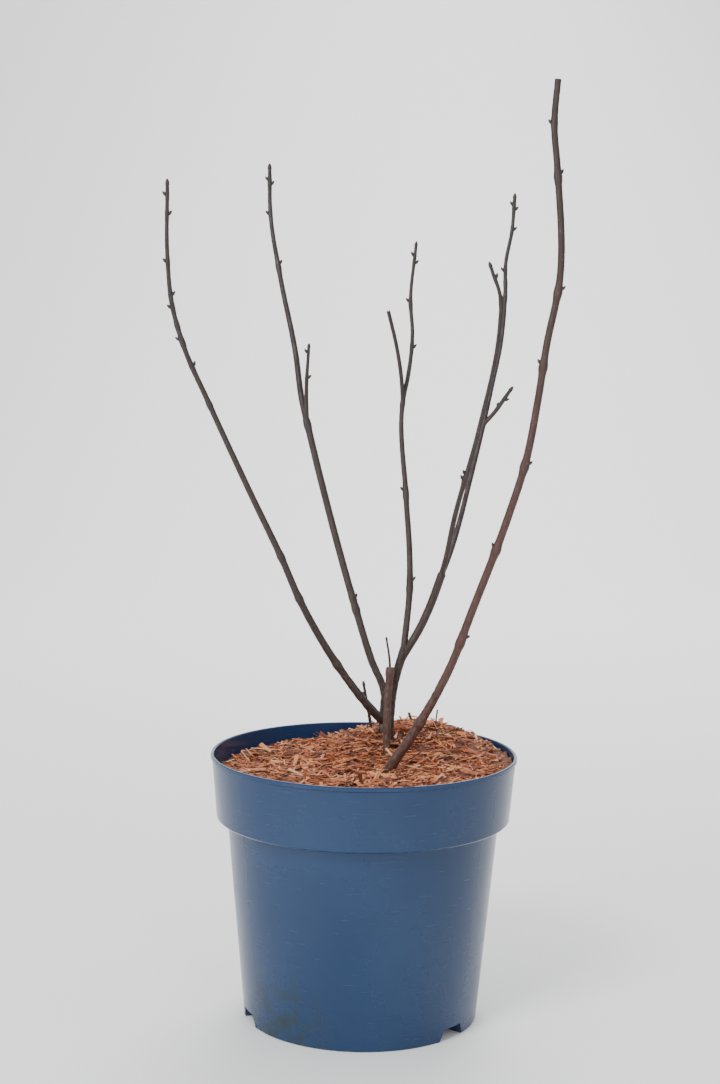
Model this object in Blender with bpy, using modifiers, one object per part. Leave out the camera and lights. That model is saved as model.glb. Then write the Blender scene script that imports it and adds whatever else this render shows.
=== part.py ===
"""A young ninebark shrub with bare winter stems, in a blue nursery pot.

Metres, +Z up. The middle of the pot's flat underside is the origin, and the
front of the plant looks along -Y. Bearings are in degrees, seen from above:
0 is right, 90 is the back, 180 is left and 270 is the front.
"""

import math
import random
from typing import NamedTuple

import bmesh
import bpy
from mathutils import Matrix, Vector, noise

MM = 0.001
GAP = 0.3 * MM

# The pot
POT_HEIGHT = 179.4 * MM
FOOT_RADIUS = 79.0 * MM
NECK_RADIUS = 91.6 * MM
BAND_LOW_RADIUS = 98.7 * MM
BAND_TOP_RADIUS = 102.4 * MM
LIP_RADIUS = 103.1 * MM
LIP_HEIGHT = 2.6 * MM
BAND_FOOT = 136.0 * MM
POT_WALL = 1.4 * MM
POT_FLOOR = 1.8 * MM
EDGE = 0.6 * MM
POT_STEPS = 60

# The drain tunnels under the pot's floor, which end as notches in its wall
TUNNEL_BEARINGS = (80, 200, 320)
TUNNEL_START = 26 * MM
TUNNEL_HEIGHT = 8 * MM
TUNNEL_FOOT_WIDTH = 25 * MM
TUNNEL_TOP_WIDTH = 17 * MM
DRAIN_HOLE_RADIUS = 4 * MM
DRAIN_HOLE_AT = 56 * MM

# What fills the pot
SOIL_TOP = 152 * MM
MULCH_LEVEL = 171.5 * MM
MULCH_TILT = 0.042
MULCH_CUT_LOW = 10 * MM
MULCH_CUT_HIGH = 26 * MM
MOUND = (Vector((16, 50)) * MM, 9 * MM, 28 * MM)
HEAP = (Vector((46, 66)) * MM, 10 * MM, 32 * MM)
LUMP = 2.2 * MM
LUMP_SIZE = 9 * MM
MULCH_CELLS = 26
CHIP_COUNT = 56
CHIP_LENGTH = (9 * MM, 24 * MM)
CHIP_WIDTH = (2.0 * MM, 4.5 * MM)
CHIP_THICK = 1.4 * MM
CHIP_REACH = 84 * MM
CHIP_SEED = 9

# The growth of every limb
ROOT_DEPTH = 148 * MM
RING_SPACING = 11 * MM
FINE_STEP = 1 * MM
FLARE_LENGTH = 30 * MM
KNOT_SWELL = 0.20
KNOT_LENGTH = 3.2 * MM
BUD_SWELL = 0.12
BUD_WIDTH = 2.1 * MM
BUD_LENGTH = 4.2 * MM
BUD_LEAN = math.radians(38)
BUD_OUT = 0.3
BUD_SINK = 0.75
BUD_POINT = 0.8
TIP_BUD_SWELL = 2.3
ROUND_LIMB = 3.5
BARK_EDGE = 50

# Colours
POT_BLUE = (0.045, 0.115, 0.265)
SOIL_BROWN = (0.045, 0.028, 0.018)
MULCH_ORANGE = (0.46, 0.20, 0.10)
RED_BARK = (0.105, 0.048, 0.034)
GREY_BARK = (0.075, 0.055, 0.046)


class Limb(NamedTuple):
    """One tapering limb. Its sizes are millimetres and its leans are degrees.

    stretches     how far it rises, leans right and leans back, from foot to tip
    thick         its thickness at the foot and at the tip
    foot          how far right and back of the pot's middle it is rooted
    springs_from  or the limb that carries it, and the height where it springs
    clear_of      other limbs that it stays clear of where it springs
    buds          the height and bearing of each side bud
    knots         the heights where the bark swells to a ring
    flare         how much wider its foot is than the taper gives, as a share
    bark          its colour
    cut_tip       whether it ends in an old cut or a fork, and not in a bud
    """

    stretches: tuple
    thick: tuple
    foot: tuple = ()
    springs_from: tuple = ()
    clear_of: tuple = ()
    buds: tuple = ()
    knots: tuple = ()
    flare: float = 0.0
    bark: tuple = GREY_BARK
    cut_tip: bool = False


LIMBS = {
    "trunk": Limb(
        foot=(16, 36),
        stretches=((40, 1.5, -8), (33, 5, -8), (26.5, 14, -8)),
        thick=(5.8, 6.2),
        flare=0.6,
        cut_tip=True,
    ),
    "front_stem": Limb(
        foot=(16.5, 10),
        stretches=((57, -1, 4.5), (30, 3, 4.5)),
        thick=(5.2, 5.2),
        knots=(231,),
        flare=0.35,
        bark=RED_BARK,
        cut_tip=True,
    ),
    "left_stem": Limb(
        foot=(12.5, 43),
        stretches=((48, 1, 7.5), (14, 2, 10), (23, -22, 9), (40, -18, 8), (87, -16, 6), (40.5, -14.5, 5)),
        thick=(5.5, 4.9),
        buds=((275, 20),),
        knots=(268, 396),
        flare=0.6,
        cut_tip=True,
    ),
    "short_stub": Limb(
        foot=(7, 52),
        stretches=((34, -3, 6), (32, -10, 6)),
        thick=(3.0, 2.0),
        buds=((208, 190),),
        flare=0.3,
    ),
    "right_front_stem": Limb(
        foot=(14, -17),
        stretches=(
            (26, 8, -11), (18, 31, -13), (57, 26.5, -11.5), (30, 18.5, -11), (66, 18.5, -11),
            (35, 15.5, -10.5), (41, 9, -9), (33, 7, -6), (40, 9.5, -5), (69, -3, -4), (25, -6, -3),
            (27.5, 3, -2),
        ),
        thick=(6.0, 4.1),
        buds=((265, 350), (325, 190), (380, 10), (442, 170), (489, 350), (559, 15), (588, 185)),
        knots=(206, 261, 322, 377, 439, 486, 556),
        flare=1.0,
        bark=RED_BARK,
        cut_tip=True,
    ),
    "dead_spur": Limb(
        springs_from=("front_stem", 233),
        stretches=((8, -4, -5), (13, -9, -11)),
        thick=(1.9, 1.5),
    ),
    "far_left_stem": Limb(
        springs_from=("left_stem", 191),
        stretches=(
            (13, -40, -35), (33, -35.5, -17.5), (46, -28.5, -17), (24, -22.5, -15.5), (45, -25, -13),
            (64, -24.5, -10.5), (33, -23.5, -11), (28, -15.5, -9), (30, -5, -8.5), (45, 0, -4),
        ),
        thick=(6.0, 2.5),
        buds=((437, 15), (454, 175), (475, 190), (482, 350), (503, 170), (533, 10), (546, 185)),
        knots=(233, 281, 310, 412, 451, 463),
        flare=0.15,
    ),
    "short_left_twig": Limb(
        springs_from=("left_stem", 398),
        stretches=((23, -1, -14.5), (28, 3, -14)),
        thick=(3.4, 2.1),
        buds=((429, 350), (446, 170)),
    ),
    "upper_left_bough": Limb(
        springs_from=("left_stem", 399),
        clear_of=("short_left_twig",),
        stretches=((14, -14, 17), (32, -9, 17), (56, -12.5, 14), (43, -10, 13), (31, -2, 8)),
        thick=(4.7, 2.8),
        buds=((509, 10), (544, 180), (565, 0), (568, 190)),
        knots=(505,),
    ),
    "centre_bough": Limb(
        springs_from=("trunk", 245.5),
        stretches=(
            (46, 4.5, 5.5), (21, -1.5, 7), (39, -4.5, 7), (65, -2.5, 4), (15, 11, 4),
            (30, 5, 5.5), (20, -4.5, 6), (38, 4.5, 4),
        ),
        thick=(4.9, 2.2),
        buds=((293, 350), (354, 185), (451, 10), (482, 175), (508, 355), (513, 190)),
        knots=(287, 350, 413, 479),
    ),
    "centre_cut_twig": Limb(
        springs_from=("centre_bough", 414.5),
        stretches=((17, -5, -19), (20.5, -10, -16.5), (23.5, -14.5, -17.5)),
        thick=(3.0, 2.6),
        cut_tip=True,
    ),
    "right_bough": Limb(
        springs_from=("trunk", 238.5),
        clear_of=("centre_bough",),
        stretches=((26, 28.5, -9), (13.5, 22, -8.5), (21.5, 18, -10.5)),
        thick=(5.8, 5.8),
        cut_tip=True,
    ),
    "inner_right_bough": Limb(
        springs_from=("right_bough", 296),
        stretches=(
            (14, 13, -23), (26.5, 9.5, -18), (61.5, 13, -16.5), (70, 9, -13.5), (15, 0, -11),
            (19.5, -19, -9),
        ),
        thick=(3.9, 2.4),
        buds=((365, 180), (369, 195), (483, 350), (496, 20)),
        knots=(364, 480),
    ),
    "outer_right_bough": Limb(
        springs_from=("right_bough", 296.5),
        clear_of=("inner_right_bough",),
        stretches=(
            (12.5, 22, 21.5), (56.5, 15.5, 16.5), (61, 13, 16.5), (27.5, 11.5, 12.5),
            (36.5, 4.5, 11), (18, 0, 12), (24.5, 10, 10.5), (21, 4, 8),
        ),
        thick=(4.0, 2.5),
        buds=((505, 180), (533, 0), (547, 10), (550, 190)),
        knots=(400, 487, 496),
    ),
    "outer_right_twig": Limb(
        springs_from=("outer_right_bough", 399),
        stretches=((7, 42, 0), (15.5, 34, -14)),
        thick=(3.2, 2.6),
        buds=((411, 130), (417, 330)),
    ),
}


def clear_scene():
    for item in list(bpy.data.objects):
        bpy.data.objects.remove(item, do_unlink=True)


def new_collection(name):
    collection = bpy.data.collections.new(name)
    bpy.context.scene.collection.children.link(collection)
    return collection


def new_material(name, colour, roughness):
    material = bpy.data.materials.new(name)
    material.use_nodes = True
    shader = material.node_tree.nodes["Principled BSDF"]
    shader.inputs["Base Color"].default_value = (*colour, 1.0)
    shader.inputs["Roughness"].default_value = roughness
    shader.inputs["Metallic"].default_value = 0.0
    return material


def new_object(name, mesh, collection, material=None):
    piece = bpy.data.objects.new(name, mesh)
    collection.objects.link(piece)
    if material:
        mesh.materials.clear()
        mesh.materials.append(material)
    return piece


def evaluated_mesh(piece):
    graph = bpy.context.evaluated_depsgraph_get()
    return bpy.data.meshes.new_from_object(piece.evaluated_get(graph))


def mesh_from(shape, name):
    mesh = bpy.data.meshes.new(name)
    shape.to_mesh(mesh)
    shape.free()
    return mesh


def combine(piece, helpers, operation):
    """Joins the helpers to the piece, or cuts them from it, and removes them."""
    group = new_collection(piece.name + "_" + operation.lower())
    for helper in helpers:
        for owner in helper.users_collection:
            owner.objects.unlink(helper)
        group.objects.link(helper)
    modifier = piece.modifiers.new(operation, "BOOLEAN")
    modifier.operation = operation
    modifier.operand_type = "COLLECTION"
    modifier.collection = group
    bpy.context.view_layer.update()
    old, piece.data = piece.data, evaluated_mesh(piece)
    piece.modifiers.remove(modifier)
    bpy.data.meshes.remove(old)
    for helper in helpers:
        bpy.data.objects.remove(helper, do_unlink=True)
    bpy.data.collections.remove(group)


def smooth_shading(piece, degrees=35):
    piece.data.shade_smooth()
    piece.data.set_sharp_from_angle(angle=math.radians(degrees))


def turned(name, outline, collection, material=None):
    """A solid turned about the Z axis, from the (radius, height) points of its outline."""
    mesh = bpy.data.meshes.new(name + "_outline")
    edges = [(i, i + 1) for i in range(len(outline) - 1)]
    mesh.from_pydata([(radius, 0.0, height) for radius, height in outline], edges, [])
    piece = new_object(name, mesh, collection)
    screw = piece.modifiers.new("turn", "SCREW")
    screw.steps = POT_STEPS
    screw.render_steps = POT_STEPS
    screw.use_merge_vertices = True
    screw.merge_threshold = 0.01 * MM
    bpy.context.view_layer.update()
    piece.data = evaluated_mesh(piece)
    piece.modifiers.remove(screw)
    bpy.data.meshes.remove(mesh)
    if material:
        piece.data.materials.append(material)
    return piece


def wall_radius(height):
    """The outer radius of the wall below the band."""
    return FOOT_RADIUS + (NECK_RADIUS - FOOT_RADIUS) * height / BAND_FOOT


def band_radius(height):
    """The outer radius of the band under the rim."""
    share = (height - BAND_FOOT) / (POT_HEIGHT - BAND_FOOT)
    return BAND_LOW_RADIUS + (BAND_TOP_RADIUS - BAND_LOW_RADIUS) * share


def pot_outline():
    """Up the inside from the middle of the floor, over the lip and down the outside."""
    ledge = BAND_FOOT + POT_WALL
    lip_foot = POT_HEIGHT - LIP_HEIGHT
    return [
        (0.0, POT_FLOOR),
        (wall_radius(POT_FLOOR) - POT_WALL, POT_FLOOR),
        (wall_radius(ledge) - POT_WALL, ledge),
        (band_radius(ledge) - POT_WALL, ledge),
        (band_radius(POT_HEIGHT) - POT_WALL, POT_HEIGHT - EDGE),
        (band_radius(POT_HEIGHT) - POT_WALL + EDGE, POT_HEIGHT),
        (LIP_RADIUS - EDGE, POT_HEIGHT),
        (LIP_RADIUS, POT_HEIGHT - EDGE),
        (LIP_RADIUS, lip_foot),
        (band_radius(lip_foot), lip_foot - EDGE),
        (band_radius(BAND_FOOT + 2 * EDGE), BAND_FOOT + 2 * EDGE),
        (BAND_LOW_RADIUS - 2 * EDGE, BAND_FOOT),
        (NECK_RADIUS, BAND_FOOT),
        (wall_radius(EDGE), EDGE),
        (FOOT_RADIUS - EDGE, 0.0),
        (0.0, 0.0),
    ]


def tunnel(name, bearing, low, thicker, start, end, collection):
    """A bar with sloping sides that lies along a bearing, under the pot's floor."""
    high = TUNNEL_HEIGHT + thicker
    shape = bmesh.new()
    bmesh.ops.create_cube(shape, size=1.0)
    for corner in shape.verts:
        top = corner.co.z > 0
        width = TUNNEL_TOP_WIDTH if top else TUNNEL_FOOT_WIDTH
        corner.co.x = end if corner.co.x > 0 else start
        corner.co.y = math.copysign(width / 2 + thicker, corner.co.y)
        corner.co.z = high if top else low
    turn = Matrix.Rotation(math.radians(bearing), 4, "Z")
    bmesh.ops.transform(shape, matrix=turn, verts=shape.verts)
    return new_object(name, mesh_from(shape, name), collection)


def tunnel_covers(collection, thicker):
    """The tunnels' roofs and sides, cut round so that they end inside the pot's wall."""
    covers = []
    for bearing in TUNNEL_BEARINGS:
        reach = 4 * TUNNEL_HEIGHT
        shell = [
            (0.0, reach),
            (wall_radius(reach) - POT_WALL / 2, reach),
            (wall_radius(0) - POT_WALL / 2, 0.0),
            (0.0, 0.0),
        ]
        start, end = TUNNEL_START - thicker, FOOT_RADIUS + EDGE
        cover = tunnel("tunnel_cover", bearing, POT_FLOOR / 2, thicker, start, end, collection)
        combine(cover, [turned("cover_limit", shell, collection)], "INTERSECT")
        covers.append(cover)
    return covers


def build_pot(collection, material):
    pot = turned("pot", pot_outline(), collection, material)
    combine(pot, tunnel_covers(collection, POT_WALL), "UNION")
    cutters = []
    for bearing in TUNNEL_BEARINGS:
        cutters.append(
            tunnel(f"notch_{bearing}", bearing, -POT_FLOOR, 0.0, TUNNEL_START, FOOT_RADIUS * 1.2, collection)
        )
        hole = bmesh.new()
        bmesh.ops.create_cone(
            hole, cap_ends=True, segments=16, radius1=DRAIN_HOLE_RADIUS, radius2=DRAIN_HOLE_RADIUS,
            depth=3 * POT_WALL,
        )
        place = Matrix.Rotation(math.radians(bearing), 4, "Z") @ Matrix.Translation(
            (DRAIN_HOLE_AT, 0.0, TUNNEL_HEIGHT + POT_WALL / 2)
        )
        bmesh.ops.transform(hole, matrix=place, verts=hole.verts)
        cutters.append(new_object(f"drain_{bearing}", mesh_from(hole, "drain"), collection))
    combine(pot, cutters, "DIFFERENCE")
    smooth_shading(pot)
    return pot


def build_soil(collection, material):
    """The compost that the roots hold together, a little clear of the pot all round."""
    ledge = BAND_FOOT + POT_WALL + GAP
    bottom = POT_FLOOR + GAP
    clear = POT_WALL + GAP
    outline = [
        (0.0, SOIL_TOP),
        (band_radius(SOIL_TOP) - clear, SOIL_TOP),
        (band_radius(ledge) - clear, ledge),
        (wall_radius(ledge) - clear, ledge),
        (wall_radius(bottom) - clear, bottom),
        (0.0, bottom),
    ]
    soil = turned("soil", outline, collection, material)
    combine(soil, tunnel_covers(collection, POT_WALL + GAP), "DIFFERENCE")
    smooth_shading(soil)
    return soil


def swell_at(place, spot, height, spread):
    return height * math.exp(-((place - spot).length / spread) ** 2 / 2)


def mulch_height(x, y):
    """The mulch lies low at the left and is heaped up against the rim at the back right."""
    place = Vector((x, y))
    level = MULCH_LEVEL + MULCH_TILT * x
    level += swell_at(place, *MOUND) + swell_at(place, *HEAP)
    return level + LUMP * noise.noise(Vector((x, y, 0.0)) / LUMP_SIZE)


def chip(number, dice, collection):
    """One sliver of bark, lying on the mulch and half sunk in it."""
    bearing = dice.uniform(0, math.tau)
    out = CHIP_REACH * math.sqrt(dice.random())
    x, y = out * math.cos(bearing), out * math.sin(bearing)
    size = (dice.uniform(*CHIP_LENGTH), dice.uniform(*CHIP_WIDTH), CHIP_THICK)
    turn = Matrix.Rotation(dice.uniform(0, math.tau), 4, "Z")
    tip_up = Matrix.Rotation(dice.uniform(-0.3, 0.3), 4, "Y")
    shape = bmesh.new()
    bmesh.ops.create_cube(shape, size=1.0)
    place = Matrix.Translation((x, y, mulch_height(x, y))) @ turn @ tip_up @ Matrix.Diagonal((*size, 1.0))
    bmesh.ops.transform(shape, matrix=place, verts=shape.verts)
    return new_object(f"chip_{number}", mesh_from(shape, "chip"), collection)


def build_mulch(collection, material):
    """A lumpy slab, cut round to the pot, with slivers fused on and a socket for each stem."""
    shape = bmesh.new()
    bmesh.ops.create_grid(shape, x_segments=MULCH_CELLS, y_segments=MULCH_CELLS, size=LIP_RADIUS * 1.05)
    for point in shape.verts:
        point.co.z = mulch_height(point.co.x, point.co.y)
    under = bmesh.ops.extrude_face_region(shape, geom=shape.faces[:])["geom"]
    for point in under:
        if isinstance(point, bmesh.types.BMVert):
            point.co.z = SOIL_TOP - MULCH_CUT_LOW
    bmesh.ops.recalc_face_normals(shape, faces=shape.faces)
    mulch = new_object("mulch", mesh_from(shape, "mulch"), collection, material)
    dice = random.Random(CHIP_SEED)
    chips = [chip(number, dice, collection) for number in range(CHIP_COUNT)]
    combine(mulch, chips, "UNION")
    low, high = SOIL_TOP + GAP, POT_HEIGHT + MULCH_CUT_HIGH
    clear = POT_WALL + GAP
    inside = [(0.0, high), (band_radius(high) - clear, high), (band_radius(low) - clear, low), (0.0, low)]
    combine(mulch, [turned("pot_inside", inside, collection)], "INTERSECT")
    rooted = [limb for limb in LIMBS.values() if limb.foot]
    sockets = [limb_object("socket", limb, collection, GAP) for limb in rooted]
    combine(mulch, sockets, "DIFFERENCE")
    smooth_shading(mulch)
    return mulch


def stretch_ends(limb):
    """Where each stretch of the limb starts and ends, worked up from its foot."""
    if limb.foot:
        point = Vector((*limb.foot, 0.0)) * MM
        point.z = ROOT_DEPTH
    else:
        carrier, height = limb.springs_from
        grown = Growth(LIMBS[carrier])
        point = grown.point(grown.at_height(height * MM))
    points = [point]
    for rise, right, back in limb.stretches:
        step = Vector((math.tan(math.radians(right)), math.tan(math.radians(back)), 1.0))
        points.append(points[-1] + step * rise * MM)
    return points


def smooth_line(points):
    """Closely spaced points along one smooth curve through the given ones."""
    spans = [(b - a).length for a, b in zip(points, points[1:])]
    slopes = [(b - a) / span for a, b, span in zip(points, points[1:], spans)]
    leads = [slopes[0]]
    for i in range(1, len(slopes)):
        leads.append((slopes[i] * spans[i - 1] + slopes[i - 1] * spans[i]) / (spans[i] + spans[i - 1]))
    leads.append(slopes[-1])
    line = []
    for i, span in enumerate(spans):
        steps = max(2, round(span / FINE_STEP))
        for step in range(steps):
            t = step / steps
            line.append(
                points[i] * (2 * t**3 - 3 * t**2 + 1)
                + leads[i] * span * (t**3 - 2 * t**2 + t)
                + points[i + 1] * (3 * t**2 - 2 * t**3)
                + leads[i + 1] * span * (t**3 - t**2)
            )
    return line + [points[-1]]


class Growth:
    """A limb's course: where it is, which way it runs and how thick it is, by length from its foot."""

    def __init__(self, limb):
        self.limb = limb
        self.line = smooth_line(stretch_ends(limb))
        self.far = [0.0]
        for a, b in zip(self.line, self.line[1:]):
            self.far.append(self.far[-1] + (b - a).length)
        self.length = self.far[-1]
        self.bud_places = [self.at_height(height * MM) for height, _ in limb.buds]
        self.knot_places = [self.at_height(height * MM) for height in limb.knots]

    def at_height(self, height):
        """The length from the foot at which the limb first reaches a height."""
        for point, far in zip(self.line, self.far):
            if point.z >= height:
                return far
        return self.length

    def nearest(self, far):
        return min(range(len(self.far)), key=lambda i: abs(self.far[i] - far))

    def point(self, far):
        return self.line[self.nearest(far)]

    def lead(self, far):
        i = self.nearest(far)
        a, b = self.line[max(i - 2, 0)], self.line[min(i + 2, len(self.line) - 1)]
        return (b - a).normalized()

    def radius(self, far):
        foot, tip = self.limb.thick
        radius = (foot + (tip - foot) * far / self.length) * MM / 2
        radius *= 1 + self.limb.flare * math.exp(-far / FLARE_LENGTH)
        for place in self.knot_places:
            radius *= 1 + KNOT_SWELL * math.exp(-(((far - place) / KNOT_LENGTH) ** 2))
        for place in self.bud_places:
            radius *= 1 + BUD_SWELL * math.exp(-(((far - place) / KNOT_LENGTH) ** 2))
        return radius

    def rings(self):
        """Where the rings of the mesh are: even steps, and closer ones over each swelling."""
        count = max(2, round(self.length / RING_SPACING))
        wanted = [self.length * i / count for i in range(count + 1)]
        for place in self.knot_places + self.bud_places:
            wanted += [place - KNOT_LENGTH, place, place + KNOT_LENGTH]
        kept = [0.0]
        for far in sorted(wanted):
            if kept[-1] + KNOT_LENGTH / 2 < far < self.length - KNOT_LENGTH / 2:
                kept.append(far)
        return kept + [self.length]


def limb_object(name, limb, collection, larger=0.0):
    """The limb as a closed tube, cut flat at the soil where it is rooted. A larger one is a cutter."""
    growth = Growth(limb)
    curve = bpy.data.curves.new(name, "CURVE")
    curve.dimensions = "3D"
    curve.bevel_depth = MM
    curve.bevel_resolution = 2 if max(limb.thick) > ROUND_LIMB else 1
    curve.use_fill_caps = True
    rings = growth.rings()
    spline = curve.splines.new("POLY")
    spline.points.add(len(rings) - 1)
    for ring, far in zip(spline.points, rings):
        place = growth.point(far)
        if far == growth.length:
            place = place + growth.lead(far) * larger
        ring.co = (*place, 1.0)
        ring.radius = (growth.radius(far) + larger) / MM
    tube = new_object(name + "_curve", curve, collection)
    bpy.context.view_layer.update()
    shape = bmesh.new()
    mesh = evaluated_mesh(tube)
    shape.from_mesh(mesh)
    bpy.data.objects.remove(tube, do_unlink=True)
    bpy.data.meshes.remove(mesh)
    bmesh.ops.remove_doubles(shape, verts=shape.verts, dist=0.01 * MM)
    if limb.foot:
        level = SOIL_TOP + GAP - larger
        everything = shape.verts[:] + shape.edges[:] + shape.faces[:]
        bmesh.ops.bisect_plane(
            shape, geom=everything, plane_co=(0, 0, level), plane_no=(0, 0, 1), clear_inner=True
        )
        bmesh.ops.holes_fill(shape, edges=[edge for edge in shape.edges if edge.is_boundary])
    bmesh.ops.recalc_face_normals(shape, faces=shape.faces)
    return new_object(name, mesh_from(shape, name), collection)


def bud(name, base, axis, width, length, collection):
    """A pointed egg that stands on the bark, its foot sunk in."""
    shape = bmesh.new()
    bmesh.ops.create_uvsphere(shape, u_segments=6, v_segments=4, radius=0.5)
    for point in shape.verts:
        if point.co.z > 0:
            point.co.x *= BUD_POINT
            point.co.y *= BUD_POINT
    turn = axis.to_track_quat("Z", "Y").to_matrix().to_4x4()
    size = Matrix.Diagonal((width, width, length, 1.0))
    place = Matrix.Translation(base + axis * length * BUD_OUT) @ turn @ size
    bmesh.ops.transform(shape, matrix=place, verts=shape.verts)
    return new_object(name, mesh_from(shape, name), collection)


def limb_buds(name, limb, collection):
    growth = Growth(limb)
    buds = []
    for far, (_, bearing) in zip(growth.bud_places, limb.buds):
        lead = growth.lead(far)
        around = math.radians(bearing)
        outward = Vector((math.cos(around), math.sin(around), 0.0))
        outward = (outward - lead * outward.dot(lead)).normalized()
        axis = (lead * math.cos(BUD_LEAN) + outward * math.sin(BUD_LEAN)).normalized()
        base = growth.point(far) + outward * growth.radius(far) * BUD_SINK
        buds.append(bud(f"{name}_bud_{len(buds)}", base, axis, BUD_WIDTH, BUD_LENGTH, collection))
    if not limb.cut_tip:
        width = growth.radius(growth.length) * TIP_BUD_SWELL
        tip = growth.point(growth.length)
        buds.append(bud(name + "_tip_bud", tip, growth.lead(growth.length), width, width * 2, collection))
    return buds


def build_limb(name, limb, collection, materials):
    piece = limb_object(name, limb, collection)
    buds = limb_buds(name, limb, collection)
    if buds:
        combine(piece, buds, "UNION")
    others = [*limb.springs_from[:1], *limb.clear_of]
    if others:
        cutters = [limb_object("cutter", LIMBS[other], collection, GAP) for other in others]
        combine(piece, cutters, "DIFFERENCE")
    piece.data.materials.clear()
    piece.data.materials.append(materials[limb.bark])
    smooth_shading(piece, BARK_EDGE)
    return piece


def main():
    clear_scene()
    ninebark = new_collection("potted_ninebark")
    build_pot(ninebark, new_material("blue_plastic", POT_BLUE, 0.35))
    build_soil(ninebark, new_material("compost", SOIL_BROWN, 0.95))
    build_mulch(ninebark, new_material("bark_mulch", MULCH_ORANGE, 0.85))
    barks = {
        RED_BARK: new_material("red_brown_bark", RED_BARK, 0.7),
        GREY_BARK: new_material("grey_brown_bark", GREY_BARK, 0.75),
    }
    for name, limb in LIMBS.items():
        build_limb(name, limb, ninebark, barks)


main()
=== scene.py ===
# %% [markdown]
# This lesson dresses a young potted shrub in its winter state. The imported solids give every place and
# size. The script puts a finer pot, loose mulch, rough bark and buds where the plain solids are, then
# lights the scene.

import bisect
import math
import random
from typing import NamedTuple

import bmesh
import bpy
from mathutils import Matrix, Vector, noise


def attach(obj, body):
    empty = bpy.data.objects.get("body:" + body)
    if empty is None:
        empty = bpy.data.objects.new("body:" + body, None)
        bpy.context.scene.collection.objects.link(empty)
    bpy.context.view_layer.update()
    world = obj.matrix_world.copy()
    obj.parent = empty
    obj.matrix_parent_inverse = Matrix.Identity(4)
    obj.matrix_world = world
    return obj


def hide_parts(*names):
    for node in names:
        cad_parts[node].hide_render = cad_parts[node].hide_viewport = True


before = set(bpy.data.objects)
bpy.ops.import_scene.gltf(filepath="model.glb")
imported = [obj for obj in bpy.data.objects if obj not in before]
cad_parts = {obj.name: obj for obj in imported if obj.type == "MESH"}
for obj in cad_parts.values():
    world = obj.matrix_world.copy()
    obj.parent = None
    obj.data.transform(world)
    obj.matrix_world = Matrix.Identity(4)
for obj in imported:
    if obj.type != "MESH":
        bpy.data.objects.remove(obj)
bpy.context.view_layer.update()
MM = 0.001
print("solids:", sorted(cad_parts))


# %% [markdown]
# A bmesh is built with Blender's own operators and then turned into an object. Every finished piece
# stays at the origin, so patterns on Object coordinates stay where they are.

# %% Turn a bmesh into a piece of the plant
def finish_piece(name, shape, materials, replaces=(), smooth=40):
    mesh = bpy.data.meshes.new(name)
    shape.to_mesh(mesh)
    shape.free()
    mesh.shade_smooth()
    mesh.set_sharp_from_angle(angle=math.radians(smooth))
    for material in materials:
        mesh.materials.append(material)
    piece = bpy.data.objects.new(name, mesh)
    bpy.context.scene.collection.objects.link(piece)
    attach(piece, "root")
    if replaces:
        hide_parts(*replaces)
    print(name, len(mesh.polygons), "faces")
    return piece


# %% [markdown]
# Shader maths reads best as plain sums. One small class wraps a socket so that Python's own signs add
# the Math nodes, and one method adds every other kind of node.

# %% Write shaders as sums
class Flow:
    """A value on its way through the nodes of one material."""

    def __init__(self, finish, socket):
        self.finish = finish
        self.socket = socket

    def sum(self, operation, first, second):
        return self.finish.node("ShaderNodeMath", {"operation": operation}, {0: first, 1: second})

    def __add__(self, other):
        return self.sum("ADD", self, other)

    def __mul__(self, other):
        return self.sum("MULTIPLY", self, other)

    __radd__ = __add__
    __rmul__ = __mul__


class Finish:
    """One material and the nodes that feed its shader."""

    def __init__(self, name, roughness):
        self.material = bpy.data.materials.new(name)
        self.material.use_nodes = True
        self.tree = self.material.node_tree
        self.shader = self.tree.nodes["Principled BSDF"]
        self.shader.inputs["Roughness"].default_value = roughness
        self.place = self.node("ShaderNodeTexCoord", output="Object")

    def put(self, socket, value):
        if isinstance(value, Flow):
            self.tree.links.new(value.socket, socket)
        elif isinstance(value, tuple) and len(value) == 3 and socket.type == "RGBA":
            socket.default_value = (*value, 1.0)
        else:
            socket.default_value = value

    def node(self, kind, settings=None, sockets=None, output=0):
        made = self.tree.nodes.new(kind)
        for name, value in (settings or {}).items():
            setattr(made, name, value)
        for name, value in (sockets or {}).items():
            self.put(made.inputs[name], value)
        return Flow(self, made.outputs[output])

    def feed(self, name, value):
        self.put(self.shader.inputs[name], value)

    def noise(self, scale, detail=3.0, stretch=None):
        place = self.place
        if stretch:
            place = self.node("ShaderNodeMapping", {}, {"Vector": place, "Scale": stretch})
        return self.node("ShaderNodeTexNoise", {}, {"Vector": place, "Scale": scale, "Detail": detail})

    def between(self, value, low, high):
        limits = {"Value": value, "From Min": low, "From Max": high}
        return self.node("ShaderNodeMapRange", {}, limits)

    def mix(self, share, first, second):
        return self.node("ShaderNodeMix", {"data_type": "RGBA"}, {0: share, 6: first, 7: second}, 2)

    def bump(self, height, strength, distance):
        facts = {"Height": height, "Strength": strength, "Distance": distance}
        self.feed("Normal", self.node("ShaderNodeBump", {}, facts))


def plain(name, colour, roughness=0.8):
    finish = Finish(name, roughness)
    finish.feed("Base Color", colour)
    return finish.material


# %% [markdown]
# The pot is thin moulded plastic with a satin skin: long soft highlights, faint scuffs that run round
# it, and a green bloom of algae low on the front left. Roughness and colour carry the wear, since the
# skin itself is smooth.

# %% Blue satin plastic
POT_BLUE = (0.007, 0.028, 0.080)
WORN_BLUE = (0.015, 0.048, 0.118)
ALGAE = (0.014, 0.026, 0.014)
ALGAE_AT = (-0.050, -0.062, 0.010)
ALGAE_REACH = 0.042

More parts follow.
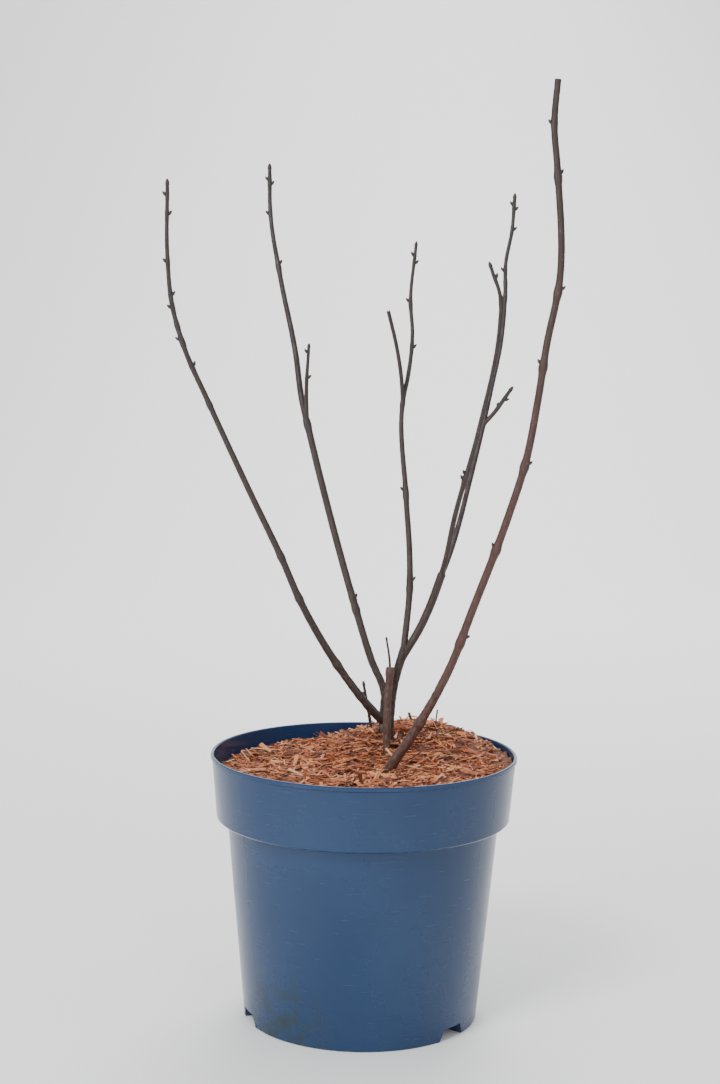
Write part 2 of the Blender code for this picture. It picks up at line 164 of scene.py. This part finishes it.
plastic = Finish("blue_plastic", 0.3)
plastic.shader.inputs["Specular IOR Level"].default_value = 0.38
wear = plastic.between(plastic.noise(14.0, 5.0), 0.45, 0.75)
scuffs = plastic.between(plastic.noise(60.0, 6.0, (1.0, 1.0, 9.0)), 0.62, 0.72)
ends = {0: plastic.place, 1: ALGAE_AT}
far_off = plastic.node("ShaderNodeVectorMath", {"operation": "DISTANCE"}, ends, 1)
patches = plastic.between(plastic.noise(90.0, 6.0), 0.4, 0.7)
bloom = plastic.between(far_off, ALGAE_REACH, ALGAE_REACH / 3) * patches
worn = plastic.mix(wear * 0.35 + scuffs * 0.12, POT_BLUE, WORN_BLUE)
plastic.feed("Base Color", plastic.mix(bloom * 0.8, worn, ALGAE))
plastic.feed("Roughness", 0.22 + 0.12 * wear + 0.08 * scuffs + 0.3 * bloom)
plastic.bump(plastic.noise(260.0, 2.0), 0.06, 0.0004)
print("plastic ready")


# %% [markdown]
# The pot is turned from one outline: floor, sloping wall, the step under the band, and the lip. Three
# drain tunnels run under the floor and end as notches in the foot of the wall, so they are cut with
# Boolean modifiers.

# %% The pot
POT_HEIGHT = 179.4 * MM
FOOT_RADIUS = 79.0 * MM
NECK_RADIUS = 91.6 * MM
BAND_LOW_RADIUS = 98.7 * MM
BAND_TOP_RADIUS = 102.4 * MM
LIP_RADIUS = 103.1 * MM
LIP_HEIGHT = 2.6 * MM
BAND_FOOT = 136.0 * MM
POT_WALL = 1.4 * MM
POT_FLOOR = 1.8 * MM
EDGE = 0.6 * MM
TUNNEL_BEARINGS = (80, 200, 320)
TUNNEL_START = 26 * MM
TUNNEL_HEIGHT = 8 * MM
TUNNEL_FOOT_WIDTH = 25 * MM
TUNNEL_TOP_WIDTH = 17 * MM
PAST_THE_WALL = 1.2
POT_STEPS = 192


def wall_radius(height):
    return FOOT_RADIUS + (NECK_RADIUS - FOOT_RADIUS) * height / BAND_FOOT


def band_radius(height):
    share = (height - BAND_FOOT) / (POT_HEIGHT - BAND_FOOT)
    return BAND_LOW_RADIUS + (BAND_TOP_RADIUS - BAND_LOW_RADIUS) * share


def turn_outline(outline):
    """A shape spun about the Z axis from (radius, height) points."""
    shape = bmesh.new()
    points = [shape.verts.new((radius, 0.0, height)) for radius, height in outline]
    edges = [shape.edges.new(pair) for pair in zip(points, points[1:])]
    bmesh.ops.spin(
        shape,
        geom=points + edges,
        cent=(0, 0, 0),
        axis=(0, 0, 1),
        angle=math.tau,
        steps=POT_STEPS,
        use_merge=True,
    )
    bmesh.ops.remove_doubles(shape, verts=shape.verts, dist=0.01 * MM)
    bmesh.ops.recalc_face_normals(shape, faces=shape.faces)
    return shape


def tunnel(bearing, low, thicker, start, end):
    shape = bmesh.new()
    bmesh.ops.create_cube(shape, size=1.0)
    for corner in shape.verts:
        top = corner.co.z > 0
        width = TUNNEL_TOP_WIDTH if top else TUNNEL_FOOT_WIDTH
        corner.co.x = end if corner.co.x > 0 else start
        corner.co.y = math.copysign(width / 2 + thicker, corner.co.y)
        corner.co.z = TUNNEL_HEIGHT + thicker if top else low
    bmesh.ops.rotate(shape, verts=shape.verts, matrix=Matrix.Rotation(math.radians(bearing), 3, "Z"))
    return shape


def cut_with(piece, shape, operation):
    """Applies one Boolean to the piece and removes its helper."""
    mesh = bpy.data.meshes.new("helper")
    shape.to_mesh(mesh)
    shape.free()
    helper = bpy.data.objects.new("helper", mesh)
    bpy.context.scene.collection.objects.link(helper)
    modifier = piece.modifiers.new(operation, "BOOLEAN")
    modifier.operation = operation
    modifier.object = helper
    bpy.context.view_layer.update()
    graph = bpy.context.evaluated_depsgraph_get()
    piece.data = bpy.data.meshes.new_from_object(piece.evaluated_get(graph))
    piece.modifiers.remove(modifier)
    bpy.data.objects.remove(helper, do_unlink=True)


ledge, lip_foot = BAND_FOOT + POT_WALL, POT_HEIGHT - LIP_HEIGHT
pot_outline = [
    (0.0, POT_FLOOR),
    (wall_radius(POT_FLOOR) - POT_WALL, POT_FLOOR),
    (wall_radius(ledge) - POT_WALL, ledge),
    (band_radius(ledge) - POT_WALL, ledge),
    (band_radius(POT_HEIGHT) - POT_WALL, POT_HEIGHT - EDGE),
    (band_radius(POT_HEIGHT) - POT_WALL + EDGE, POT_HEIGHT),
    (LIP_RADIUS - EDGE, POT_HEIGHT),
    (LIP_RADIUS, POT_HEIGHT - EDGE),
    (LIP_RADIUS, lip_foot),
    (band_radius(lip_foot), lip_foot - EDGE),
    (band_radius(BAND_FOOT + 2 * EDGE), BAND_FOOT + 2 * EDGE),
    (BAND_LOW_RADIUS - 2 * EDGE, BAND_FOOT),
    (NECK_RADIUS, BAND_FOOT),
    (wall_radius(EDGE), EDGE),
    (FOOT_RADIUS - EDGE, 0.0),
    (0.0, 0.0),
]
pot = finish_piece("pot_shell", turn_outline(pot_outline), [plastic.material], ["pot"], 35)
for bearing in TUNNEL_BEARINGS:
    cover_end = FOOT_RADIUS - POT_WALL / 2
    cut_with(pot, tunnel(bearing, POT_FLOOR / 2, POT_WALL, TUNNEL_START - POT_WALL, cover_end), "UNION")
for bearing in TUNNEL_BEARINGS:
    cut_with(pot, tunnel(bearing, -POT_FLOOR, 0.0, TUNNEL_START, FOOT_RADIUS * PAST_THE_WALL), "DIFFERENCE")
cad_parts["soil"].data.materials.clear()
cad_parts["soil"].data.materials.append(plain("compost", (0.030, 0.019, 0.013), 0.95))


# %% [markdown]
# The mulch is shredded bark. A lumpy bed closes it below, painted dark as the shade in the gaps between
# the splinters, and a few thousand splinters lie on it. They are tapering cones pressed flat, because a
# torn strip of bark is widest at one end, dealt one of a few plain colours.

# %% The mulch bed
SOIL_TOP = 152 * MM
MULCH_LEVEL = 171.5 * MM
MULCH_TILT = 0.042
MOUND = (Vector((16, 50)) * MM, 9 * MM, 28 * MM)
HEAP = (Vector((46, 66)) * MM, 10 * MM, 32 * MM)
LUMP = 2.2 * MM
LUMP_SIZE = 9 * MM
BED_SUNK = 1.6 * MM
BED_RINGS = 70
BED_CLEAR = 0.4 * MM
CRUMB = 1.2 * MM
CRUMB_SIZE = 2.5 * MM


def swell_at(place, spot, height, spread):
    return height * math.exp(-((place - spot).length / spread) ** 2 / 2)


def mulch_height(x, y):
    place = Vector((x, y))
    level = MULCH_LEVEL + MULCH_TILT * x
    level += swell_at(place, *MOUND) + swell_at(place, *HEAP)
    return level + LUMP * noise.noise(Vector((x, y, 0.0)) / LUMP_SIZE)


bed_radius = band_radius(MULCH_LEVEL) - POT_WALL - BED_CLEAR
bed = turn_outline([(bed_radius * ring / BED_RINGS, SOIL_TOP) for ring in range(BED_RINGS + 1)])
for grown in bmesh.ops.extrude_face_region(bed, geom=bed.faces[:])["geom"]:
    if isinstance(grown, bmesh.types.BMVert):
        x, y = grown.co.x, grown.co.y
        crumbs = CRUMB * noise.fractal(Vector((x, y, 0.3)) / CRUMB_SIZE, 0.6, 2.0, 3)
        grown.co.z = mulch_height(x, y) - BED_SUNK + crumbs
bmesh.ops.recalc_face_normals(bed, faces=bed.faces)
# Painted shade: the bed is coloured near-black to stand for the shade in the gaps between the splinters,
# broken up by noise toward a bark brown.
bed_shade = Finish("painted_shade_mulch_bed", 0.9)
PAINTED_GAP_SHADE, BED_BARK_BROWN = (0.035, 0.014, 0.009), (0.20, 0.075, 0.035)
bed_shade.feed("Base Color", bed_shade.mix(bed_shade.noise(420.0, 5.0), PAINTED_GAP_SHADE, BED_BARK_BROWN))
finish_piece("mulch_bed", bed, [bed_shade.material], ["mulch"], 60)

# %% The splinters
SPLINTERS = 4200
SPLINTER_SEED = 4
SHORTEST, LONGEST, USUAL_LENGTH = 2 * MM, 26 * MM, 6 * MM
STANDING_SHARE = 0.03
FLATNESS = 0.34
SPLINTER_COLOURS = [
    (0.46, 0.155, 0.058), (0.38, 0.115, 0.042), (0.55, 0.225, 0.100), (0.26, 0.068, 0.026),
    (0.15, 0.040, 0.018), (0.66, 0.370, 0.205), (0.08, 0.024, 0.014),
]
SPLINTER_SHARES = (9, 8, 6, 6, 4, 2, 3)

dice = random.Random(SPLINTER_SEED)
splinters = bmesh.new()
for _ in range(SPLINTERS):
    bearing = dice.uniform(0, math.tau)
    length = min(dice.expovariate(1 / USUAL_LENGTH) + SHORTEST, LONGEST)
    out = (bed_radius - length / 2 - 1 * MM) * math.sqrt(dice.random())
    x, y = out * math.cos(bearing), out * math.sin(bearing)
    width = dice.uniform(0.7, 1.5) * MM + length * dice.uniform(0.02, 0.13)
    narrow = width / dice.uniform(3, 9)
    made = bmesh.ops.create_cone(
        splinters, cap_ends=True, segments=5, radius1=width / 2, radius2=narrow, depth=length
    )
    steep = dice.uniform(0.5, 1.2) if dice.random() < STANDING_SHARE else dice.gauss(0, 0.16)
    place = Matrix.Translation((x, y, mulch_height(x, y) + dice.uniform(-1.6, 0.9) * MM))
    place @= Matrix.Rotation(dice.uniform(0, math.tau), 4, "Z")
    place @= Matrix.Rotation(math.pi / 2 + steep, 4, "Y")
    place @= Matrix.Rotation(dice.gauss(0, 0.35), 4, "Z") @ Matrix.Diagonal((FLATNESS, 1.0, 1.0, 1.0))
    bmesh.ops.transform(splinters, matrix=place, verts=made["verts"])
    colour = dice.choices(range(len(SPLINTER_COLOURS)), SPLINTER_SHARES)[0]
    for face in {face for vert in made["verts"] for face in vert.link_faces}:
        face.material_index = colour
splinter_materials = []
for number, colour in enumerate(SPLINTER_COLOURS):
    splinter_materials.append(plain(f"splinter_{number}", colour, 0.85))
finish_piece("mulch_splinters", splinters, splinter_materials, smooth=20)


# %% [markdown]
# Bark changes up a stem. Old wood at the foot is grey and split, one-year wood is red-brown and
# smooth with pale pores, and the tips are dull grey. The height in Object coordinates picks the
# colour, and noise breaks it up.

# %% Bark
OLD_WOOD = (0.21, 0.30)
YOUNG_WOOD = (0.40, 0.60)
STREAK_DARKNESS = 0.45
PORE_COLOUR = (0.13, 0.085, 0.06)


def bark(name, foot, middle, tip):
    finish = Finish(name, 0.5)
    height = finish.node("ShaderNodeSeparateXYZ", {}, {0: finish.place}, 2)
    drift = finish.noise(35.0, 3.0)
    grown = finish.mix(finish.between(height + drift * 0.06, *OLD_WOOD), foot, middle)
    grown = finish.mix(finish.between(height + drift * 0.12, *YOUNG_WOOD), grown, tip)
    streaks = finish.between(finish.noise(520.0, 4.0, (1.0, 1.0, 0.18)), 0.35, 0.7)
    dark = tuple(STREAK_DARKNESS * part for part in middle)
    grown = finish.mix(streaks * 0.45, grown, dark)
    pores = finish.between(finish.noise(900.0, 1.0, (1.0, 1.0, 0.55)), 0.70, 0.76)
    finish.feed("Base Color", finish.mix(pores * 0.55, grown, PORE_COLOUR))
    finish.feed("Roughness", 0.40 + 0.3 * streaks)
    finish.bump(streaks, 0.35, 0.0004)
    return finish.material


GREY_BARK = "grey_brown_bark"
RED_BARK = "red_brown_bark"
barks = {
    GREY_BARK: bark(GREY_BARK, (0.050, 0.033, 0.026), (0.027, 0.013, 0.010), (0.014, 0.010, 0.009)),
    RED_BARK: bark(RED_BARK, (0.074, 0.034, 0.023), (0.056, 0.017, 0.011), (0.022, 0.011, 0.009)),
}
cut_wood = plain("cut_wood", (0.26, 0.17, 0.11), 0.9)
bud_scales = plain("bud_scales", (0.020, 0.009, 0.008), 0.45)


# %% [markdown]
# Every limb grows by one rule. It starts at its own foot or on the limb that carries it, and rises in
# stretches, each with a lean to the right and a lean to the back. A smooth curve runs through the
# ends of the stretches.

# %% The limbs
class Limb(NamedTuple):
    """One tapering limb. Its sizes are millimetres and its leans are degrees.

    stretches     how far it rises, leans right and leans back, from foot to tip
    thick         its thickness at the foot and at the tip
    foot          how far right and back of the pot's middle it is rooted
    springs_from  or the limb that carries it, and the height where it springs
    clear_of      other limbs that it stays clear of where it springs; not used
    buds          the height and bearing of each side bud
    knots         the heights where the bark swells to a ring
    flare         how much wider its foot is than the taper gives, as a share
    bark          its colour
    cut_tip       whether it ends in an old cut or a fork, and not in a bud
    """

    stretches: tuple
    thick: tuple
    foot: tuple = ()
    springs_from: tuple = ()
    clear_of: tuple = ()
    buds: tuple = ()
    knots: tuple = ()
    flare: float = 0.0
    bark: tuple = GREY_BARK
    cut_tip: bool = False


LIMBS = {
    "trunk": Limb(
        foot=(16, 36),
        stretches=((40, 1.5, -8), (33, 5, -8), (26.5, 14, -8)),
        thick=(5.8, 6.2),
        flare=0.6,
        cut_tip=True,
    ),
    "front_stem": Limb(
        foot=(16.5, 10),
        stretches=((57, -1, 4.5), (30, 3, 4.5)),
        thick=(5.2, 5.2),
        knots=(231,),
        flare=0.35,
        bark=RED_BARK,
        cut_tip=True,
    ),
    "left_stem": Limb(
        foot=(12.5, 43),
        stretches=((48, 1, 7.5), (14, 2, 10), (23, -22, 9), (40, -18, 8), (87, -16, 6), (40.5, -14.5, 5)),
        thick=(5.5, 4.9),
        buds=((275, 20),),
        knots=(268, 396),
        flare=0.6,
        cut_tip=True,
    ),
    "short_stub": Limb(
        foot=(7, 52),
        stretches=((34, -3, 6), (32, -10, 6)),
        thick=(3.0, 2.0),
        buds=((208, 190),),
        flare=0.3,
    ),
    "right_front_stem": Limb(
        foot=(14, -17),
        stretches=(
            (26, 8, -11), (18, 31, -13), (57, 26.5, -11.5), (30, 18.5, -11), (66, 18.5, -11),
            (35, 15.5, -10.5), (41, 9, -9), (33, 7, -6), (40, 9.5, -5), (69, -3, -4), (25, -6, -3),
            (27.5, 3, -2),
        ),
        thick=(6.0, 4.1),
        buds=((265, 350), (325, 190), (380, 10), (442, 170), (489, 350), (559, 15), (588, 185)),
        knots=(206, 261, 322, 377, 439, 486, 556),
        flare=1.0,
        bark=RED_BARK,
        cut_tip=True,
    ),
    "dead_spur": Limb(
        springs_from=("front_stem", 233),
        stretches=((8, -4, -5), (13, -9, -11)),
        thick=(1.9, 1.5),
    ),
    "far_left_stem": Limb(
        springs_from=("left_stem", 191),
        stretches=(
            (13, -40, -35), (33, -35.5, -17.5), (46, -28.5, -17), (24, -22.5, -15.5), (45, -25, -13),
            (64, -24.5, -10.5), (33, -23.5, -11), (28, -15.5, -9), (30, -5, -8.5), (45, 0, -4),
        ),
        thick=(6.0, 2.5),
        buds=((437, 15), (454, 175), (475, 190), (482, 350), (503, 170), (533, 10), (546, 185)),
        knots=(233, 281, 310, 412, 451, 463),
        flare=0.15,
    ),
    "short_left_twig": Limb(
        springs_from=("left_stem", 398),
        stretches=((23, -1, -14.5), (28, 3, -14)),
        thick=(3.4, 2.1),
        buds=((429, 350), (446, 170)),
    ),
    "upper_left_bough": Limb(
        springs_from=("left_stem", 399),
        clear_of=("short_left_twig",),
        stretches=((14, -14, 17), (32, -9, 17), (56, -12.5, 14), (43, -10, 13), (31, -2, 8)),
        thick=(4.7, 2.8),
        buds=((509, 10), (544, 180), (565, 0), (568, 190)),
        knots=(505,),
    ),
    "centre_bough": Limb(
        springs_from=("trunk", 245.5),
        stretches=(
            (46, 4.5, 5.5), (21, -1.5, 7), (39, -4.5, 7), (65, -2.5, 4), (15, 11, 4),
            (30, 5, 5.5), (20, -4.5, 6), (38, 4.5, 4),
        ),
        thick=(4.9, 2.2),
        buds=((293, 350), (354, 185), (451, 10), (482, 175), (508, 355), (513, 190)),
        knots=(287, 350, 413, 479),
    ),
    "centre_cut_twig": Limb(
        springs_from=("centre_bough", 414.5),
        stretches=((17, -5, -19), (20.5, -10, -16.5), (23.5, -14.5, -17.5)),
        thick=(3.0, 2.6),
        cut_tip=True,
    ),
    "right_bough": Limb(
        springs_from=("trunk", 238.5),
        clear_of=("centre_bough",),
        stretches=((26, 28.5, -9), (13.5, 22, -8.5), (21.5, 18, -10.5)),
        thick=(5.8, 5.8),
        cut_tip=True,
    ),
    "inner_right_bough": Limb(
        springs_from=("right_bough", 296),
        stretches=(
            (14, 13, -23), (26.5, 9.5, -18), (61.5, 13, -16.5), (70, 9, -13.5), (15, 0, -11),
            (19.5, -19, -9),
        ),
        thick=(3.9, 2.4),
        buds=((365, 180), (369, 195), (483, 350), (496, 20)),
        knots=(364, 480),
    ),
    "outer_right_bough": Limb(
        springs_from=("right_bough", 296.5),
        clear_of=("inner_right_bough",),
        stretches=(
            (12.5, 22, 21.5), (56.5, 15.5, 16.5), (61, 13, 16.5), (27.5, 11.5, 12.5),
            (36.5, 4.5, 11), (18, 0, 12), (24.5, 10, 10.5), (21, 4, 8),
        ),
        thick=(4.0, 2.5),
        buds=((505, 180), (533, 0), (547, 10), (550, 190)),
        knots=(400, 487, 496),
    ),
    "outer_right_twig": Limb(
        springs_from=("outer_right_bough", 399),
        stretches=((7, 42, 0), (15.5, 34, -14)),
        thick=(3.2, 2.6),
        buds=((411, 130), (417, 330)),
    ),
}


# %% The course of a limb
ROOT_DEPTH = 148 * MM
FINE_STEP = 1 * MM
FLARE_LENGTH = 30 * MM
KNOT_SWELL = 0.20
BUD_SWELL = 0.12
KNOT_LENGTH = 3.2 * MM
LEAD_REACH = 2 * MM


def stretch_ends(limb):
    if limb.foot:
        point = Vector((*limb.foot, 0.0)) * MM
        point.z = ROOT_DEPTH
    else:
        carrier, height = limb.springs_from
        grown = Growth(LIMBS[carrier])
        point = grown.point(grown.at_height(height * MM))
    points = [point]
    for rise, right, back in limb.stretches:
        step = Vector((math.tan(math.radians(right)), math.tan(math.radians(back)), 1.0))
        points.append(points[-1] + step * rise * MM)
    return points


def smooth_line(points):
    spans = [(b - a).length for a, b in zip(points, points[1:])]
    slopes = [(b - a) / span for a, b, span in zip(points, points[1:], spans)]
    leads = [slopes[0]]
    for i in range(1, len(slopes)):
        leads.append((slopes[i] * spans[i - 1] + slopes[i - 1] * spans[i]) / (spans[i] + spans[i - 1]))
    leads.append(slopes[-1])
    line = []
    for i, span in enumerate(spans):
        steps = max(2, round(span / FINE_STEP))
        for step in range(steps):
            t = step / steps
            line.append(
                points[i] * (2 * t**3 - 3 * t**2 + 1)
                + leads[i] * span * (t**3 - 2 * t**2 + t)
                + points[i + 1] * (3 * t**2 - 2 * t**3)
                + leads[i + 1] * span * (t**3 - t**2)
            )
    return line + [points[-1]]


class Growth:
    """Where a limb is, which way it runs and how thick it is, by length from its foot."""

    def __init__(self, limb):
        self.limb = limb
        self.line = smooth_line(stretch_ends(limb))
        self.far = [0.0]
        for a, b in zip(self.line, self.line[1:]):
            self.far.append(self.far[-1] + (b - a).length)
        self.length = self.far[-1]
        self.bud_places = [self.at_height(height * MM) for height, _ in limb.buds]
        self.knot_places = [self.at_height(height * MM) for height in limb.knots]

    def at_height(self, height):
        for point, far in zip(self.line, self.far):
            if point.z >= height:
                return far
        return self.length

    def point(self, far):
        after = min(max(bisect.bisect_left(self.far, far), 1), len(self.far) - 1)
        share = (far - self.far[after - 1]) / (self.far[after] - self.far[after - 1])
        return self.line[after - 1].lerp(self.line[after], min(max(share, 0.0), 1.0))

    def lead(self, far):
        ahead = self.point(min(far + LEAD_REACH, self.length))
        return (ahead - self.point(max(far - LEAD_REACH, 0.0))).normalized()

    def radius(self, far):
        foot, tip = self.limb.thick
        radius = (foot + (tip - foot) * far / self.length) * MM / 2
        radius *= 1 + self.limb.flare * math.exp(-far / FLARE_LENGTH)
        for places, swell in ((self.knot_places, KNOT_SWELL), (self.bud_places, BUD_SWELL)):
            for place in places:
                radius *= 1 + swell * math.exp(-(((far - place) / KNOT_LENGTH) ** 2))
        return radius


# %% [markdown]
# The bark of the old wood is split into ridges, which show against the light, so they are real shape
# and not only bump. A flat grid is rolled up into the limb, and each point sinks by a noise that is
# stretched along the wood.

# %% Roll each limb up from a grid
SIDES = 24
RING_STEP = 0.9 * MM
SPLIT_DEPTH = 0.60 * MM
WRINKLE_DEPTH = 0.16 * MM
SPLIT_TOP = 235 * MM
SPLIT_FADE = 12 * MM
RIDGE = (2.2, 5 * MM)
WRINKLE = (1.6, 1.6 * MM)
PRUNED = ("front_stem", "right_front_stem", "centre_cut_twig")


def bark_sink(place, around):
    """How far the bark lies below the limb's own radius at a place."""
    old = 1.0 / (1.0 + math.exp((place.z - SPLIT_TOP) / SPLIT_FADE))
    depths = []
    for across, along in (RIDGE, WRINKLE):
        spot = Vector((math.cos(around) * across, math.sin(around) * across, place.z / along))
        depths.append(abs(noise.noise(spot)))
    return depths[0] * 2 * SPLIT_DEPTH * old + depths[1] * WRINKLE_DEPTH


def roll_limb(growth):
    rings = max(6, round(growth.length / RING_STEP))
    shape = bmesh.new()
    bmesh.ops.create_grid(shape, x_segments=SIDES, y_segments=rings, size=1.0)
    for point in shape.verts:
        around = (point.co.x + 1) * math.pi
        far = (point.co.y + 1) / 2 * growth.length
        lead = growth.lead(far)
        side = lead.cross(Vector((0, 1, 0))).normalized()
        outward = side * math.cos(around) + side.cross(lead) * math.sin(around)
        middle = growth.point(far)
        point.co = middle + outward * (growth.radius(far) - bark_sink(middle, around))
    bmesh.ops.remove_doubles(shape, verts=shape.verts, dist=0.002 * MM)
    rims = [edge for edge in shape.edges if edge.is_boundary]
    for cap in bmesh.ops.holes_fill(shape, edges=rims, sides=0)["faces"]:
        cap.material_index = 1
    bmesh.ops.recalc_face_normals(shape, faces=shape.faces)
    return shape


growths = {name: Growth(limb) for name, limb in LIMBS.items()}
for name, growth in growths.items():
    skin = growth.limb.bark
    end = cut_wood if name in PRUNED else barks[skin]
    finish_piece(name + "_bark", roll_limb(growth), [barks[skin], end], [name], 50)


# %% [markdown]
# Winter buds are small pointed eggs of dark scales, pressed to the stem above a scar. They sit on
# alternate sides, and one stands at each living tip. A sphere drawn out to a point is enough, since
# each is only 4 mm long.

# %% Buds
BUD_WIDTH = 2.1 * MM
BUD_LENGTH = 4.1 * MM
BUD_LEAN = math.radians(38)
BUD_OUT = 0.3
BUD_SINK = 0.75
BUD_POINT = 0.6
TIP_BUD_SWELL = 2.3

buds = bmesh.new()


def add_bud(base, axis, width, length):
    made = bmesh.ops.create_uvsphere(buds, u_segments=12, v_segments=9, radius=0.5)["verts"]
    for point in made:
        if point.co.z > 0:
            slim = 1 - BUD_POINT * point.co.z
            point.co.x *= slim
            point.co.y *= slim
    size = Matrix.Diagonal((width, width, length, 1.0))
    turn = axis.to_track_quat("Z", "Y").to_matrix().to_4x4()
    place = Matrix.Translation(base + axis * length * BUD_OUT) @ turn @ size
    bmesh.ops.transform(buds, matrix=place, verts=made)


for growth in growths.values():
    for far, (_, bearing) in zip(growth.bud_places, growth.limb.buds):
        lead = growth.lead(far)
        around = math.radians(bearing)
        outward = Vector((math.cos(around), math.sin(around), 0.0))
        outward = (outward - lead * outward.dot(lead)).normalized()
        axis = (lead * math.cos(BUD_LEAN) + outward * math.sin(BUD_LEAN)).normalized()
        base = growth.point(far) + outward * growth.radius(far) * BUD_SINK
        add_bud(base, axis, BUD_WIDTH, BUD_LENGTH)
    if not growth.limb.cut_tip:
        width = growth.radius(growth.length) * TIP_BUD_SWELL
        add_bud(growth.point(growth.length), growth.lead(growth.length), width, width * 2)
finish_piece("buds", buds, [bud_scales], smooth=60)


# %% [markdown]
# A plain pale floor that sweeps up behind, and a pale world, stand in for a studio. One soft light
# from the left front models the stems, and two tall narrow ones draw the upright highlights on the
# pot.

# %% Floor and lights
FLOOR_SIZE = 8.0
WALL_BEHIND = 3.2
WALL_HEIGHT = 4.0
SWEEP_RADIUS = 1.2
floor_shape = bmesh.new()
bmesh.ops.create_grid(floor_shape, x_segments=1, y_segments=1, size=FLOOR_SIZE / 2)
rear = [edge for edge in floor_shape.edges if all(point.co.y > 0 for point in edge.verts)]
for point in rear[0].verts:
    point.co.y = WALL_BEHIND
for grown in bmesh.ops.extrude_edge_only(floor_shape, edges=rear)["geom"]:
    if isinstance(grown, bmesh.types.BMVert):
        grown.co.z = WALL_HEIGHT
bmesh.ops.bevel(
    floor_shape, geom=rear, affect="EDGES", offset=SWEEP_RADIUS, segments=16, profile=0.5, material=-1
)
for face in floor_shape.faces:
    face.smooth = True
floor_mesh = bpy.data.meshes.new("floor")
floor_shape.to_mesh(floor_mesh)
floor_shape.free()
floor_mesh.materials.append(plain("pale_floor", (0.86, 0.86, 0.855), 0.7))
floor = bpy.data.objects.new("floor", floor_mesh)
bpy.context.scene.collection.objects.link(floor)


def soft_light(name, place, width, height, watts, aim=(0.0, 0.0, 0.25)):
    data = bpy.data.lights.new(name, "AREA")
    data.shape = "RECTANGLE"
    data.size = width
    data.size_y = height
    data.energy = watts
    light = bpy.data.objects.new(name, data)
    light.location = place
    light.rotation_euler = (Vector(aim) - Vector(place)).to_track_quat("-Z", "Y").to_euler()
    bpy.context.scene.collection.objects.link(light)


soft_light("key", (-0.75, -1.3, 1.6), 0.5, 0.5, 24)
soft_light("left_strip", (-1.15, -1.1, 0.55), 0.14, 1.0, 9)
soft_light("right_strip", (0.52, -1.5, 0.6), 0.08, 1.1, 5)
soft_light("back", (0.3, 1.9, 1.9), 1.6, 1.6, 60, aim=(0.0, 1.6, 0.2))
world = bpy.data.worlds.new("pale_world")
world.use_nodes = True
world.node_tree.nodes["Background"].inputs["Color"].default_value = (0.93, 0.94, 0.96, 1.0)
world.node_tree.nodes["Background"].inputs["Strength"].default_value = 0.95
bpy.context.scene.world = world

# %% [markdown]
# The camera looks slightly down from a little above the middle of the crown, so that the mulch shows
# as an ellipse inside the rim. A long lens keeps the near and far stems in proportion.

# %% Camera
CAMERA_PLACE = (-0.0048, -1.2602, 0.4562)
CAMERA_DOWN = 6.073
CAMERA_ROLL = 0.873
CAMERA_LENS = 63.1
camera_data = bpy.data.cameras.new("camera")
camera_data.lens = CAMERA_LENS
camera = bpy.data.objects.new("camera", camera_data)
down = Matrix.Rotation(math.radians(90 - CAMERA_DOWN), 3, "X")
roll = Matrix.Rotation(math.radians(CAMERA_ROLL), 3, "Z")
camera.location = CAMERA_PLACE
camera.rotation_euler = (down @ roll).to_euler()
bpy.context.scene.collection.objects.link(camera)
bpy.context.scene.camera = camera
